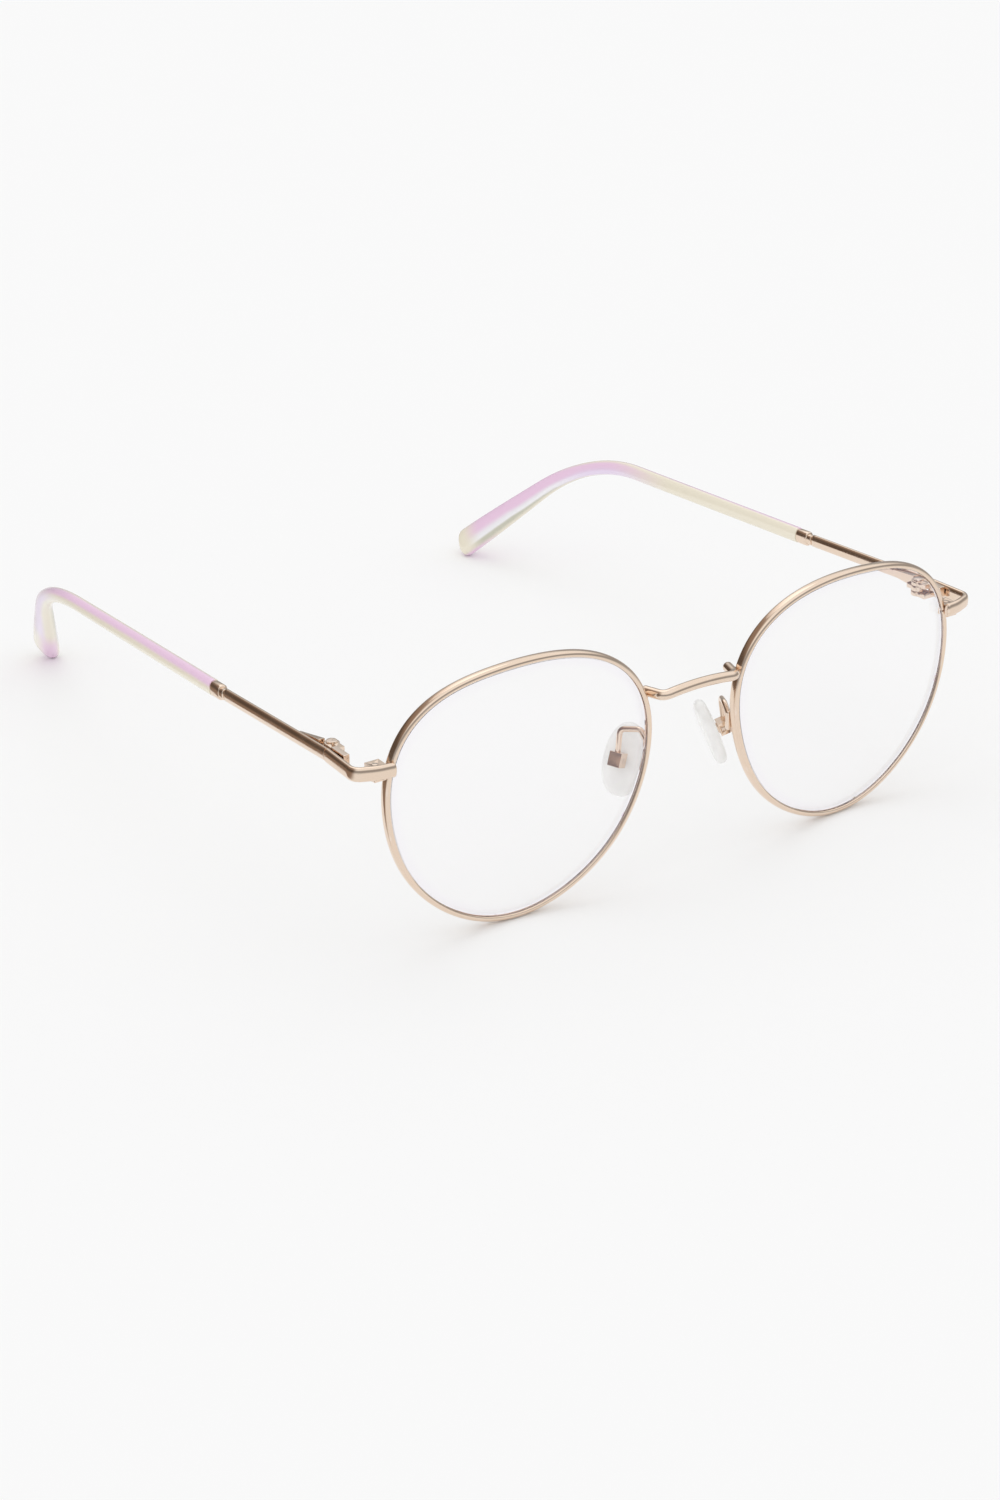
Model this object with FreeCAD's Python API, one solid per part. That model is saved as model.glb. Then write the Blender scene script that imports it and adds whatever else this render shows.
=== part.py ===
import FreeCAD, Part
import math
import os

# Thin metal full-rim eyeglasses, rounded panto shape, standing on a table with the temples open.
# Millimetres. +X is the wearer's left, the front faces -Y, the temples run to +Y, +Z is up.
# Each sub-part is drawn on the wearer's left with y = 0 at the crown of the lens, mirrored for
# the right side, and moved so that the origin lies on the table under the middle of the whole.

V = FreeCAD.Vector
X_AXIS = V(1, 0, 0)
Y_AXIS = V(0, 1, 0)
Z_AXIS = V(0, 0, 1)
ORIGIN = V(0, 0, 0)

# Whole: distance from the lens crown back to the middle of the overall depth
MIDDLE_DEPTH = 74.84

# Eyewire outline: a circle with a few waves, by angle from the temple side: (order, cos, sin)
RIM_RADIUS = 24.25
RIM_WAVES = ((2, 0.90, -0.25), (3, -0.08, 1.05), (4, -0.24, 0.0), (6, -0.10, -0.05))
OUTLINE_POINTS = 72
RIM_CENTRE = V(34.55, 0, 24.83)
WRAP_ANGLE = 3.25
TILT_ANGLE = 1.25
BASE_CURVE = 130.5

# Eyewire section and the step groove that holds the lens
RIM_WIDTH = 1.15
RIM_DEPTH = 1.7
GROOVE_DEPTH = 0.35
GROOVE_WIDTH = 0.9
RIM_SPLIT = 0.3
LENS_FRONT = 0.5
LENS_BACK = 1.1
LENS_PLAY = 0.05

# Bridge wire between the rims
BRIDGE_RADIUS = 0.9
BRIDGE_ROOT = V(8.95, 3.1, 35.0)
BRIDGE_SHOULDER = V(7.6, -1.15, 35.1)
BRIDGE_CROWN = V(0, -1.35, 36.05)
BRIDGE_BENDS = (1.5, 45.0, 1.5)

# Endpiece strip: runs over the rim front, turns the corner and meets the temple
SIDE_X = 64.4
STRIP_HEIGHT = 2.5
STRIP_THICK = 1.3
STRIP_Z = 34.0
STRIP_POINTS = (V(58.1, 2.1, STRIP_Z), V(61.2, 2.5, STRIP_Z), V(64.85, 4.0, STRIP_Z), V(64.45, 12.8, STRIP_Z))
STRIP_BENDS = (8.0, 1.8)

# Closing block: two halves on the cut ends of the rim, drawn together by a screw
BLOCK_LOW = V(58.95, 3.05, 32.1)
BLOCK_SIZE = V(2.65, 3.1, 2.4)
BLOCK_GAP = 0.1
BLOCK_MIDDLE = BLOCK_LOW.z + BLOCK_SIZE.z / 2
BLOCK_SCREW_AT = V(60.45, 4.8, 32.1)
BLOCK_SCREW_RADIUS = 0.5
BLOCK_HEAD_RADIUS = 0.85
BLOCK_HEAD_HEIGHT = 0.4
SLOT_WIDTH = 0.25
SLOT_DEPTH = 0.2

# Hinge: three knuckles on a vertical screw
PIVOT = V(62.3, 15.0, 33.5)
KNUCKLE_RADIUS = 1.3
KNUCKLE_HEIGHT = 0.9
KNUCKLE_GAP = 0.06
HINGE_SCREW_RADIUS = 0.6
HINGE_RUNNING_GAP = 0.06
HINGE_HEAD_RADIUS = 0.9
HINGE_HEAD_HEIGHT = 0.35
SOLDER_GAP = 0.02
FRONT_LEAF_LENGTH = 4.0
LEAF_THICK = 1.1
KNUCKLE_ARM = 0.9
LEAF_OVERLAP = 0.4
REAR_LEAF_LENGTH = 6.5
REAR_LEAF_GAP = 0.4
REAR_ROOT_HALF = 1.05
REAR_TAIL_HALF = 0.6
REAR_TAIL_THICK = 0.3
REAR_TAIL_DROP = 0.5

# Temple bar, collar and tip
TEMPLE_HEIGHT = 2.4
TEMPLE_THICK = 1.4
TEMPLE_ROUNDING = 0.6
TEMPLE_START = V(SIDE_X, 12.95, 34.0)
TEMPLE_END = V(SIDE_X, 46.6, 32.2)
NECK_LENGTH = 1.1
NECK_HEIGHT = 2.0
NECK_THICK = 1.7
NECK_ROUNDING = 0.5
COLLAR_LENGTH = 3.1
COLLAR_HEIGHT = 2.8
COLLAR_THICK = 2.1
COLLAR_ROUNDING = 0.8
EAR_CORNER = V(64.1, 119.7, 28.8)
TIP_END = V(50.9, 150.4, 1.6)
EAR_BEND = 42.0
CORE_RADIUS = 0.6
CORE_STOP = 8.0
TIP_HEIGHT = 3.0
TIP_THICK = 2.2
PADDLE_HEIGHT = 6.5
PADDLE_THICK = 3.6
PADDLE_LENGTH = 44.0
TIP_ROUNDING = 1.9
TIP_END_SHARE = 0.94
SECTION_POINTS = 16
SECTION_POWER = 0.8

# Nose pad, its stud, the box on the pad arm and the screw that the pad rocks on
PAD_CENTRE = V(9.5, 7.85, 20.7)
PAD_FLARE = 20.5
PAD_SPLAY = 23.3
PAD_LEAN = 7.6
PAD_LENGTH = 12.9
PAD_WIDTH = 7.8
PAD_THICK = 2.3
SCREW_OFFSET = 2.5
STUD_HALF = V(0.65, 0.75, 0.6)
BOX_WALL = 0.35
BOX_PLAY_LONG = 0.25
BOX_PLAY_WIDE = 0.07
BOX_MOUTH = 0.95
PAD_SCREW_RADIUS = 0.35
PAD_SCREW_PLAY = 0.05
PAD_HEAD_RADIUS = 0.6
PAD_HEAD_HEIGHT = 0.3
ARM_RADIUS = 0.5
ARM_BENDS = (1.1, 1.1)
FOOT_LOW = V(8.6, 1.95, 23.3)
FOOT_SIZE = V(1.0, 0.95, 3.5)
FOOT_ROUNDING = 0.35
ARM_SINK = 0.1
ARM_ROOT = V(9.1, 2.45, 26.2)
ARM_RISE = V(9.25, 3.8, 27.8)
ARM_FALL = V(11.1, 7.1, 27.1)


def cylinder(start, axis, radius, length):
    return Part.makeCylinder(radius, length, start, axis)


def box_between(low, high):
    size = high - low
    return Part.makeBox(size.x, size.y, size.z, low)


def rim_radius(angle):
    waves = sum(c * math.cos(k * angle) + s * math.sin(k * angle) for k, c, s in RIM_WAVES)
    return RIM_RADIUS + waves


def outline_prism(offset):
    """Everything inside the eyewire outline grown by offset, as a prism along the lens axis."""
    points = []
    for step in range(OUTLINE_POINTS):
        angle = 2 * math.pi * step / OUTLINE_POINTS
        radius = rim_radius(angle) + offset
        points.append(V(radius * math.cos(angle), -5, radius * math.sin(angle)))
    curve = Part.BSplineCurve()
    curve.interpolate(Points=points, PeriodicFlag=True)
    face = Part.Face(Part.Wire([curve.toShape()]))
    return face.extrude(V(0, 15, 0))


def curved_slab(front, back):
    """The space between two base-curve spheres, front ahead of and back behind the lens middle."""
    ahead = Part.makeSphere(BASE_CURVE, V(0, BASE_CURVE - front, 0))
    behind = Part.makeSphere(BASE_CURVE, V(0, BASE_CURVE + back, 0))
    return ahead, behind


def dished(prism, front, back):
    ahead, behind = curved_slab(front, back)
    return prism.common(ahead).cut(behind)


def seat_in_front(shape):
    """Moves a shape from the lens's own axes to its wrapped and tilted place in the front."""
    turn = FreeCAD.Rotation(X_AXIS, TILT_ANGLE).multiply(FreeCAD.Rotation(Z_AXIS, WRAP_ANGLE))
    shape.Placement = FreeCAD.Placement(RIM_CENTRE, turn)
    return shape


def rim():
    """Closed eyewire with its lens groove, cut through at the closing block."""
    half = RIM_WIDTH / 2
    ring = outline_prism(half).cut(outline_prism(-half))
    ring = dished(ring, RIM_DEPTH / 2, RIM_DEPTH / 2)
    groove = dished(outline_prism(GROOVE_DEPTH - half), GROOVE_WIDTH / 2, GROOVE_WIDTH / 2)
    ring = seat_in_front(ring.cut(groove))
    split_low = V(BLOCK_LOW.x - 3, 0, BLOCK_MIDDLE - RIM_SPLIT / 2)
    split_high = BLOCK_LOW + V(BLOCK_SIZE.x, BLOCK_SIZE.y, BLOCK_SIZE.z / 2 + RIM_SPLIT / 2)
    return ring.cut(box_between(split_low, split_high))


def lens():
    """Curved lens with a tongue round its edge that sits in the groove."""
    half = RIM_WIDTH / 2
    body = dished(outline_prism(-half - LENS_PLAY), LENS_FRONT, LENS_BACK)
    tongue_half = GROOVE_WIDTH / 2 - LENS_PLAY
    tongue = dished(outline_prism(GROOVE_DEPTH - half - LENS_PLAY), tongue_half, tongue_half)
    return seat_in_front(body.fuse(tongue).removeSplitter())


def bent_path(points, radii):
    """Straight runs through the points, joined by a tangent arc at each corner."""
    edges = []
    start = points[0]
    for before, corner, after, radius in zip(points, points[1:], points[2:], radii):
        back = (before - corner).normalize()
        ahead = (after - corner).normalize()
        half_turn = (math.pi - back.getAngle(ahead)) / 2
        reach = radius * math.tan(half_turn)
        arc_start = corner + back * reach
        arc_end = corner + ahead * reach
        inward = (back + ahead).normalize()
        arc_middle = corner + inward * (radius / math.cos(half_turn) - radius)
        edges.append(Part.LineSegment(start, arc_start).toShape())
        edges.append(Part.Arc(arc_start, arc_middle, arc_end).toShape())
        start = arc_end
    edges.append(Part.LineSegment(start, points[-1]).toShape())
    return Part.Wire(edges)


def round_wire(points, bends, radius):
    path = bent_path(points, bends)
    section = Part.Wire([Part.Circle(points[0], points[1] - points[0], radius).toShape()])
    return path.makePipeShell([section], True, False)


def bridge(left_rim, right_rim):
    """Wire with a low arch whose ends turn back and are soldered to the nasal side of the rims."""
    mirrored = [V(-p.x, p.y, p.z) for p in (BRIDGE_SHOULDER, BRIDGE_ROOT)]
    points = [BRIDGE_ROOT, BRIDGE_SHOULDER, BRIDGE_CROWN] + mirrored
    return round_wire(points, BRIDGE_BENDS, BRIDGE_RADIUS).cut(left_rim).cut(right_rim)


def endpiece(rim_shape):
    """Flat strip bent round the corner of the front."""
    along = (STRIP_POINTS[1] - STRIP_POINTS[0]).normalize()
    across = along.cross(Z_AXIS) * (STRIP_THICK / 2)
    up = Z_AXIS * (STRIP_HEIGHT / 2)
    start = STRIP_POINTS[0]
    corners = [start + across + up, start + across - up, start - across - up, start - across + up]
    section = Part.makePolygon(corners + corners[:1])
    strip = bent_path(STRIP_POINTS, STRIP_BENDS).makePipeShell([section], True, False)
    return strip.cut(rim_shape)


def closing_blocks(rim_shape, strip):
    """Upper and lower half of the block that opens the rim, each drilled for the screw."""
    high = BLOCK_LOW + BLOCK_SIZE
    hole = cylinder(BLOCK_SCREW_AT, Z_AXIS, BLOCK_SCREW_RADIUS + SOLDER_GAP, BLOCK_SIZE.z)
    lower = box_between(BLOCK_LOW, V(high.x, high.y, BLOCK_MIDDLE - BLOCK_GAP / 2))
    upper = box_between(V(BLOCK_LOW.x, BLOCK_LOW.y, BLOCK_MIDDLE + BLOCK_GAP / 2), high)
    return [half.cut(hole).cut(rim_shape).cut(strip) for half in (upper, lower)]


def slot_across(end, radius):
    """Screwdriver slot cut into the end face of a screw head, to its depth on both sides of the face."""
    corner = V(2 * radius, SLOT_WIDTH / 2, SLOT_DEPTH)
    return box_between(end - corner, end + corner)


def block_screw():
    """Rim-lock screw with its head under the lower block."""
    shank = cylinder(BLOCK_SCREW_AT, Z_AXIS, BLOCK_SCREW_RADIUS, BLOCK_SIZE.z)
    head = cylinder(BLOCK_SCREW_AT, -Z_AXIS, BLOCK_HEAD_RADIUS, BLOCK_HEAD_HEIGHT)
    slot = slot_across(BLOCK_SCREW_AT - V(0, 0, BLOCK_HEAD_HEIGHT), BLOCK_HEAD_RADIUS)
    return shank.fuse(head).cut(slot).removeSplitter()


def knuckle(level, bore):
    """One hinge knuckle; level -1, 0 or 1 counts from the middle one."""
    low = PIVOT + V(0, 0, level * (KNUCKLE_HEIGHT + KNUCKLE_GAP) - KNUCKLE_HEIGHT / 2)
    barrel = cylinder(low, Z_AXIS, KNUCKLE_RADIUS, KNUCKLE_HEIGHT)
    return barrel, cylinder(low, Z_AXIS, bore, KNUCKLE_HEIGHT), low.z


def hinge_front():
    """Plate on the inside of the endpiece with the upper and lower knuckle."""
    face = STRIP_POINTS[-1].x - STRIP_THICK / 2 - SOLDER_GAP
    plate_end = STRIP_POINTS[-1].y
    plate_low = V(face - LEAF_THICK, plate_end - FRONT_LEAF_LENGTH, STRIP_Z - STRIP_HEIGHT / 2)
    leaf = box_between(plate_low, V(face, plate_end, STRIP_Z + STRIP_HEIGHT / 2))
    for level in (-1, 1):
        barrel, hole, low = knuckle(level, HINGE_SCREW_RADIUS + SOLDER_GAP)
        arm_low = V(PIVOT.x - KNUCKLE_ARM, plate_end - LEAF_OVERLAP, low)
        arm = box_between(arm_low, V(PIVOT.x + KNUCKLE_RADIUS, PIVOT.y, low + KNUCKLE_HEIGHT))
        leaf = leaf.fuse(arm).fuse(barrel).cut(hole)
    return leaf.removeSplitter()


def leaf_outline(face, depth, thick, middle, half):
    """Upright rectangle whose outer edge lies on the inner face of the temple."""
    corners = [V(face - thick, depth, middle + half), V(face, depth, middle + half),
               V(face, depth, middle - half), V(face - thick, depth, middle - half)]
    return Part.makePolygon(corners + corners[:1])


def hinge_rear():
    """Tapered leaf on the inside of the temple with the middle knuckle."""
    face = SIDE_X - TEMPLE_THICK / 2 - SOLDER_GAP
    start = PIVOT.y + KNUCKLE_RADIUS + REAR_LEAF_GAP
    end = start + REAR_LEAF_LENGTH
    root = leaf_outline(face, start, LEAF_THICK, STRIP_Z, REAR_ROOT_HALF)
    tail = leaf_outline(face, end, REAR_TAIL_THICK, STRIP_Z - REAR_TAIL_DROP, REAR_TAIL_HALF)
    plate = Part.makeLoft([root, tail], True, True)
    barrel, hole, low = knuckle(0, HINGE_SCREW_RADIUS + HINGE_RUNNING_GAP)
    arm_low = V(PIVOT.x - KNUCKLE_ARM, PIVOT.y, low)
    arm = box_between(arm_low, V(face, start + LEAF_OVERLAP, low + KNUCKLE_HEIGHT))
    return plate.fuse(arm).fuse(barrel).cut(hole).removeSplitter()


def hinge_screw():
    """Slotted screw through the three knuckles, head on top."""
    half = 1.5 * KNUCKLE_HEIGHT + KNUCKLE_GAP
    shank = cylinder(PIVOT - V(0, 0, half), Z_AXIS, HINGE_SCREW_RADIUS, 2 * half)
    head_at = PIVOT + V(0, 0, half)
    head = cylinder(head_at, Z_AXIS, HINGE_HEAD_RADIUS, HINGE_HEAD_HEIGHT)
    slot = slot_across(head_at + V(0, 0, HINGE_HEAD_HEIGHT), HINGE_HEAD_RADIUS)
    return shank.fuse(head).cut(slot).removeSplitter()


def bar_along(start, end, thick, height, rounding):
    """Flat bar on edge from start to end, its long edges rounded."""
    along = end - start
    length = along.Length
    bar = Part.makeBox(thick, length, height, V(-thick / 2, 0, -height / 2))
    long_edges = [e for e in bar.Edges if abs(e.Length - length) < 1e-6]
    bar = bar.makeFillet(rounding, long_edges)
    bar.Placement = FreeCAD.Placement(start, FreeCAD.Rotation(Y_AXIS, along))
    return bar


def temple_bar():
    return bar_along(TEMPLE_START, TEMPLE_END, TEMPLE_THICK, TEMPLE_HEIGHT, TEMPLE_ROUNDING)


class TipLine:
    """Middle line of the tip: a straight run, one large bend behind the ear and a straight end."""

    def __init__(self):
        self.back = (TEMPLE_END - EAR_CORNER).normalize()
        self.ahead = (TIP_END - EAR_CORNER).normalize()
        turn = math.pi - self.back.getAngle(self.ahead)
        reach = EAR_BEND * math.tan(turn / 2)
        self.first = (EAR_CORNER - TEMPLE_END).Length - reach
        self.arc = EAR_BEND * turn
        self.length = self.first + self.arc + (TIP_END - EAR_CORNER).Length - reach
        self.bend_start = EAR_CORNER + self.back * reach
        self.bend_end = EAR_CORNER + self.ahead * reach
        self.centre = EAR_CORNER + (self.back + self.ahead).normalize() * (EAR_BEND / math.cos(turn / 2))

    def station(self, distance):
        """Point and direction at a distance behind the end of the metal bar."""
        if distance <= self.first:
            return TEMPLE_END - self.back * distance, -self.back
        if distance >= self.first + self.arc:
            rest = distance - self.first - self.arc
            return self.bend_end + self.ahead * rest, V(self.ahead)
        angle = (distance - self.first) / EAR_BEND
        outward = (self.bend_start - self.centre).normalize()
        point = self.centre + (outward * math.cos(angle) - self.back * math.sin(angle)) * EAR_BEND
        return point, -self.back * math.cos(angle) - outward * math.sin(angle)

    def side(self, distance, direction):
        """Thickness direction: square to the temple at first, square to the bend at the end."""
        share = smooth(distance / self.length)
        flat = self.back.cross(self.ahead).normalize()
        side = X_AXIS * (1 - share) + flat * share
        return (side - direction * side.dot(direction)).normalize()


def smooth(share):
    share = min(max(share, 0.0), 1.0)
    return share * share * (3 - 2 * share)


def tip_section(line, distance):
    """Rounded section of the tip, growing into a paddle and rounded off at its end."""
    point, direction = line.station(distance)
    side = line.side(distance, direction)
    up = side.cross(direction)
    grown = smooth((distance - line.length + PADDLE_LENGTH) / PADDLE_LENGTH)
    height = TIP_HEIGHT + (PADDLE_HEIGHT - TIP_HEIGHT) * grown
    thick = TIP_THICK + (PADDLE_THICK - TIP_THICK) * grown
    rounding = max(0.0, (distance - line.length + TIP_ROUNDING) / TIP_ROUNDING)
    shrink = (1 - TIP_END_SHARE * rounding ** 3) ** 0.5
    points = []
    for step in range(SECTION_POINTS):
        angle = 2 * math.pi * step / SECTION_POINTS
        c = math.cos(angle)
        s = math.sin(angle)
        across = math.copysign(abs(c) ** SECTION_POWER, c) * thick / 2 * shrink
        above = math.copysign(abs(s) ** SECTION_POWER, s) * height / 2 * shrink
        points.append(point + side * across + up * above)
    curve = Part.BSplineCurve()
    curve.interpolate(Points=points, PeriodicFlag=True)
    return Part.Wire([curve.toShape()])


def temple_tip(line):
    """Acetate tip pushed over the core wire."""
    start = NECK_LENGTH + COLLAR_LENGTH
    stations = [start + (line.length - TIP_ROUNDING - start) * step / 12 for step in range(13)]
    stations += [line.length - TIP_ROUNDING * (1 - share) for share in (0.4, 0.7, 0.9, 1.0)]
    body = Part.makeLoft([tip_section(line, s) for s in stations], True, False)
    return body.cut(core_wire(line, SOLDER_GAP))


def core_wire(line, grow):
    """Round wire that runs on from the bar through the collar and inside the tip."""
    end = line.station(line.length - CORE_STOP + grow)[0]
    return round_wire([TEMPLE_END, EAR_CORNER, end], [EAR_BEND], CORE_RADIUS + grow)


def collar(line):
    """Metal ring that closes the front end of the tip, with a narrower neck up to the bar."""
    begin, direction = line.station(SOLDER_GAP)
    start = line.station(NECK_LENGTH)[0]
    end = line.station(NECK_LENGTH + COLLAR_LENGTH - SOLDER_GAP)[0]
    neck = bar_along(begin, end, NECK_THICK, NECK_HEIGHT, NECK_ROUNDING)
    ring = bar_along(start, end, COLLAR_THICK, COLLAR_HEIGHT, COLLAR_ROUNDING)
    hole = cylinder(begin - direction, direction, CORE_RADIUS + SOLDER_GAP, NECK_LENGTH + COLLAR_LENGTH + 2)
    return ring.fuse(neck).cut(hole).removeSplitter()


def pad_placement():
    """Pad axes: X away from the nose, Y to the back, Z up along the pad, at the rocking screw."""
    flare = math.radians(PAD_FLARE)
    splay = math.radians(PAD_SPLAY)
    lean = math.radians(PAD_LEAN)
    up = V(-math.tan(flare), math.tan(lean), 1).normalize()
    rear = V(math.sin(splay), math.cos(splay), 0)
    rear = (rear - up * rear.dot(up)).normalize()
    outward = rear.cross(up)
    turn = FreeCAD.Rotation(outward, rear, up, "ZYX")
    return FreeCAD.Placement(PAD_CENTRE + outward * SCREW_OFFSET, turn)


def placed(shape):
    shape.Placement = pad_placement()
    return shape


def nose_pad():
    """Soft oval pad, crowned on both faces."""
    rings = []
    for share, scale in ((-1, 0.80), (-0.6, 0.95), (0, 1.0), (0.6, 0.95), (1, 0.80)):
        centre = V(-SCREW_OFFSET + share * PAD_THICK / 2, 0, 0)
        ellipse = Part.Ellipse(centre + V(0, 0, PAD_LENGTH / 2 * scale),
                               centre + V(0, PAD_WIDTH / 2 * scale, 0), centre)
        rings.append(Part.Wire([ellipse.toShape()]))
    return placed(Part.makeLoft(rings, True, False))


def pad_stud():
    """Metal stud on the back of the pad that the screw goes through."""
    back = -SCREW_OFFSET + PAD_THICK / 2 + SOLDER_GAP
    low = V(back, -STUD_HALF.y, -STUD_HALF.x)
    high = V(STUD_HALF.z, STUD_HALF.y, STUD_HALF.x)
    hole = cylinder(V(0, -2, 0), Y_AXIS, PAD_SCREW_RADIUS + PAD_SCREW_PLAY, 4)
    return placed(box_between(low, high).cut(hole))


def pad_box():
    """Small open box on the end of the pad arm, drilled for the screw."""
    inner = V(STUD_HALF.z + BOX_PLAY_LONG, STUD_HALF.y + BOX_PLAY_WIDE, STUD_HALF.x + BOX_PLAY_LONG)
    wall = V(BOX_WALL, BOX_WALL, BOX_WALL)
    outer = inner + wall
    solid = box_between(V(-BOX_MOUTH, -outer.y, -outer.z), outer)
    room = box_between(V(-BOX_MOUTH - 1, -inner.y, -inner.z), inner)
    hole = cylinder(V(0, -3, 0), Y_AXIS, PAD_SCREW_RADIUS + SOLDER_GAP, 6)
    return placed(solid.cut(room).cut(hole))


def pad_screw():
    """Screw across the box; the pad rocks on it."""
    half = STUD_HALF.y + BOX_PLAY_WIDE + BOX_WALL
    shank = cylinder(V(0, -half, 0), Y_AXIS, PAD_SCREW_RADIUS, 2 * half)
    head = cylinder(V(0, half, 0), Y_AXIS, PAD_HEAD_RADIUS, PAD_HEAD_HEIGHT)
    return placed(shank.fuse(head).removeSplitter())


def pad_arm(rim_shape, box_shape):
    """Foot plate on the back of the rim and the looped wire that carries the box."""
    top = V(ARM_RADIUS, 0, STUD_HALF.x + BOX_PLAY_LONG + BOX_WALL - ARM_SINK)
    landing = pad_placement().multVec(top)
    wire = round_wire([ARM_ROOT, ARM_RISE, ARM_FALL, landing], ARM_BENDS, ARM_RADIUS)
    foot = box_between(FOOT_LOW, FOOT_LOW + FOOT_SIZE)
    foot = foot.makeFillet(FOOT_ROUNDING, foot.Edges)
    return wire.fuse(foot).cut(rim_shape).cut(box_shape).removeSplitter()


def left_side():
    """Every sub-part of the wearer's left side by name."""
    line = TipLine()
    rim_shape = rim()
    strip = endpiece(rim_shape)
    upper, lower = closing_blocks(rim_shape, strip)
    box_shape = pad_box()
    return {
        "rim": rim_shape,
        "lens": lens(),
        "endpiece": strip,
        "block_upper": upper,
        "block_lower": lower,
        "block_screw": block_screw(),
        "hinge_front": hinge_front(),
        "hinge_screw": hinge_screw(),
        "hinge_rear": hinge_rear(),
        "temple_bar": temple_bar(),
        "temple_core": core_wire(line, 0),
        "collar": collar(line),
        "temple_tip": temple_tip(line),
        "pad_arm": pad_arm(rim_shape, box_shape),
        "pad_box": box_shape,
        "pad_screw": pad_screw(),
        "pad_stud": pad_stud(),
        "nose_pad": nose_pad(),
    }


def write(name, shape):
    moved = shape.copy()
    moved.translate(V(0, -MIDDLE_DEPTH, 0))
    moved.exportStep("parts/%s.step" % name)


def main():
    os.makedirs("parts", exist_ok=True)
    left = left_side()
    right = {name: shape.mirror(ORIGIN, X_AXIS) for name, shape in left.items()}
    for name in left:
        write("left_" + name, left[name])
        write("right_" + name, right[name])
    write("bridge", bridge(left["rim"], right["rim"]))


main()
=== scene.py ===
import math
import bmesh
import bpy
from mathutils import Matrix, Vector


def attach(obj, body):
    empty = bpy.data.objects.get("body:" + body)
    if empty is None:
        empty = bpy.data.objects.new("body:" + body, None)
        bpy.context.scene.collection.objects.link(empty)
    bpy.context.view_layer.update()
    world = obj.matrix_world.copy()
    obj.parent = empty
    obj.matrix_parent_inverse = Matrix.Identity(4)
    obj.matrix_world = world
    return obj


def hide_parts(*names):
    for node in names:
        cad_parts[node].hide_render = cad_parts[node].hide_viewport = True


# Thin rose-gold eyeglasses with pearly tips. Shapes are drawn in millimetres on the wearer's left, with
# y = 0 at the crown of the lens, and placed() mirrors them and brings them into the shared frame in metres.

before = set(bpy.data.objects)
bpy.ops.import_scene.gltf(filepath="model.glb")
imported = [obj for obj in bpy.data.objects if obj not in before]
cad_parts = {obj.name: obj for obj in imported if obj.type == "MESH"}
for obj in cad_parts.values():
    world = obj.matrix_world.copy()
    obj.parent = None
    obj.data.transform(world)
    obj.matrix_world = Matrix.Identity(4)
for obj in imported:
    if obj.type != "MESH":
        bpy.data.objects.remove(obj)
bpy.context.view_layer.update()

MM = 0.001
X_AXIS = Vector((1, 0, 0))
Z_AXIS = Vector((0, 0, 1))
SIDES = {"left": 1, "right": -1}
MIDDLE_DEPTH = 74.84

# Eyewire and lens. The outline is a circle with a few waves, by angle: (order, cos, sin). The groove
# is cut where the section lies further in than GROOVE_SIDE of its width
RIM_RADIUS = 24.25
RIM_WAVES = ((2, 0.90, -0.25), (3, -0.08, 1.05), (4, -0.24, 0.0), (6, -0.10, -0.05))
RIM_CENTRE = Vector((34.55, 0, 24.83))
WRAP_ANGLE = 3.25
TILT_ANGLE = 1.25
BASE_CURVE = 130.5
RIM_WIDTH = 1.15
RIM_DEPTH = 1.7
RIM_SPLIT = 0.3
SPLIT_Z = 33.3
GROOVE_DEPTH = 0.35
GROOVE_WIDTH = 0.9
GROOVE_SIDE = 0.3
LENS_FRONT = 0.5
LENS_BACK = 1.1
LENS_PLAY = 0.05

# Bridge wire
BRIDGE_RADIUS = 0.9
BRIDGE_ROOT = Vector((8.95, 3.1, 35.0))
BRIDGE_SHOULDER = Vector((7.6, -1.15, 35.1))
BRIDGE_CROWN = Vector((0, -1.35, 36.05))
BRIDGE_BENDS = (1.5, 45.0, 1.5)

# Endpiece strip
STRIP_HEIGHT = 2.5
STRIP_THICK = 1.3
STRIP_Z = 34.0
STRIP_POINTS = (Vector((58.1, 2.1, STRIP_Z)), Vector((61.2, 2.5, STRIP_Z)),
                Vector((64.85, 4.0, STRIP_Z)), Vector((64.45, 12.8, STRIP_Z)))
STRIP_BENDS = (8.0, 1.8)

# Temple bar, collar and tip
TEMPLE_HEIGHT = 2.4
TEMPLE_THICK = 1.4
TEMPLE_START = Vector((64.4, 12.95, 34.0))
TEMPLE_END = Vector((64.4, 46.6, 32.2))
NECK_LENGTH = 1.1
NECK_HEIGHT = 2.0
NECK_THICK = 1.7
COLLAR_LENGTH = 3.1
COLLAR_HEIGHT = 2.8
COLLAR_THICK = 2.1
EAR_CORNER = Vector((64.1, 119.7, 28.8))
TIP_END = Vector((50.9, 150.4, 1.6))
EAR_BEND = 42.0
TIP_HEIGHT = 3.0
TIP_THICK = 2.2
PADDLE_HEIGHT = 6.5
PADDLE_THICK = 3.6
PADDLE_LENGTH = 44.0
TIP_MOUTH = 0.25
TIP_MOUTH_SHARE = 0.9
TIP_ROUNDING = 1.9
TIP_END_SHARE = 0.94

# Nose pad
PAD_CENTRE = Vector((9.5, 7.85, 20.7))
PAD_FLARE = 20.5
PAD_SPLAY = 23.3
PAD_LEAN = 7.6
PAD_LENGTH = 12.9
PAD_WIDTH = 7.8
PAD_THICK = 2.3
PAD_TAPER = 0.07

# Squareness of each section: 2 is an ellipse, more is squarer
WIRE_POWER = 2
RIM_POWER = 2.7
STRIP_POWER = 2.5
BAR_POWER = 2.0
COLLAR_POWER = 2.5
TIP_POWER = 2.4
PAD_POWER = 2.15

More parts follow.
